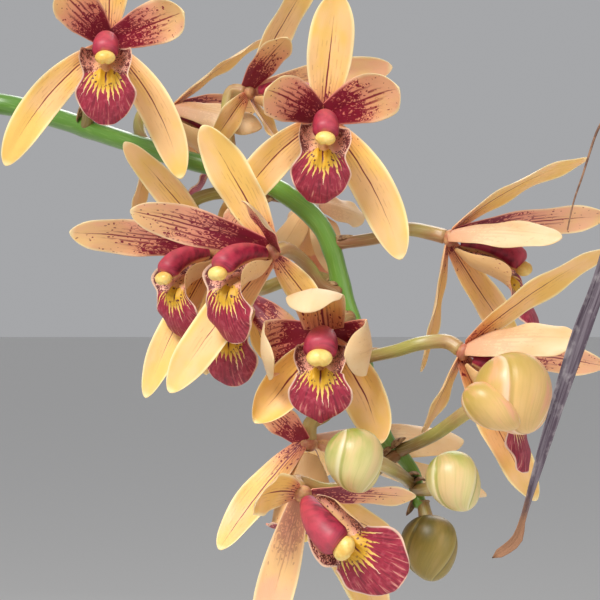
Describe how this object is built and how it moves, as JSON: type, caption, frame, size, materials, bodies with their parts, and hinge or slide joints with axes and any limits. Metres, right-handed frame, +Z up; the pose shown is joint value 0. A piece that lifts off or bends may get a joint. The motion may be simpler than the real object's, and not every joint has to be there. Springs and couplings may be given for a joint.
{
  "type": "potted cymbidium orchid",
  "caption": "Cymbidium orchid in a plain clay pot, with strap leaves and an arching spray of golden, crimson-lipped blooms and pale buds.",
  "frame": {"origin": "centre of the pot's underside, on the ground", "axes": "+Z up; +X towards the side that the flower stem arches over; -Y towards the viewer of the spray"},
  "size_m": [0.67, 0.6008, 0.5357],
  "materials": {
    "clay": "matt fired clay",
    "bark": "rough bark",
    "leaf": "satin leaf",
    "withered": "dry, grey-purple",
    "stem": "satin green stem",
    "tepal": "waxy petal",
    "lip": "velvety petal",
    "column": "waxy",
    "bud": "waxy"
  },
  "bodies": {
    "root": {"pot": "clay", "bark": "bark", "growth_front": "leaf", "growth_back": "leaf", "growth_left": "leaf", "withered_leaf": "withered", "flower_stem": "stem", "bloom_top_left_petals": "tepal", "bloom_top_left_lip": "lip", "bloom_top_left_column": "column", "bloom_top_rear_left_petals": "tepal", "bloom_top_rear_left_lip": "lip", "bloom_top_rear_left_column": "column", "bloom_top_rear_petals": "tepal", "bloom_top_rear_lip": "lip", "bloom_top_rear_column": "column", "bloom_top_centre_petals": "tepal", "bloom_top_centre_lip": "lip", "bloom_top_centre_column": "column", "bloom_middle_rear_petals": "tepal", "bloom_middle_rear_lip": "lip", "bloom_middle_rear_column": "column", "bloom_left_rear_petals": "tepal", "bloom_left_rear_lip": "lip", "bloom_left_rear_column": "column", "bloom_left_front_petals": "tepal", "bloom_left_front_lip": "lip", "bloom_left_front_column": "column", "bloom_left_low_petals": "tepal", "bloom_left_low_lip": "lip", "bloom_left_low_column": "column", "bloom_right_upper_petals": "tepal", "bloom_right_upper_lip": "lip", "bloom_right_upper_column": "column", "bloom_right_lower_petals": "tepal", "bloom_right_lower_lip": "lip", "bloom_right_lower_column": "column", "bloom_middle_hooded_petals": "tepal", "bloom_middle_hooded_lip": "lip", "bloom_middle_hooded_column": "column", "bloom_bottom_rear_petals": "tepal", "bloom_bottom_rear_lip": "lip", "bloom_bottom_rear_column": "column", "bloom_bottom_front_petals": "tepal", "bloom_bottom_front_lip": "lip", "bloom_bottom_front_column": "column", "bud_low_left": "bud", "bud_low_right": "bud", "bud_opening": "bud", "bud_lowest": "bud"}
  },
  "joints": []
}
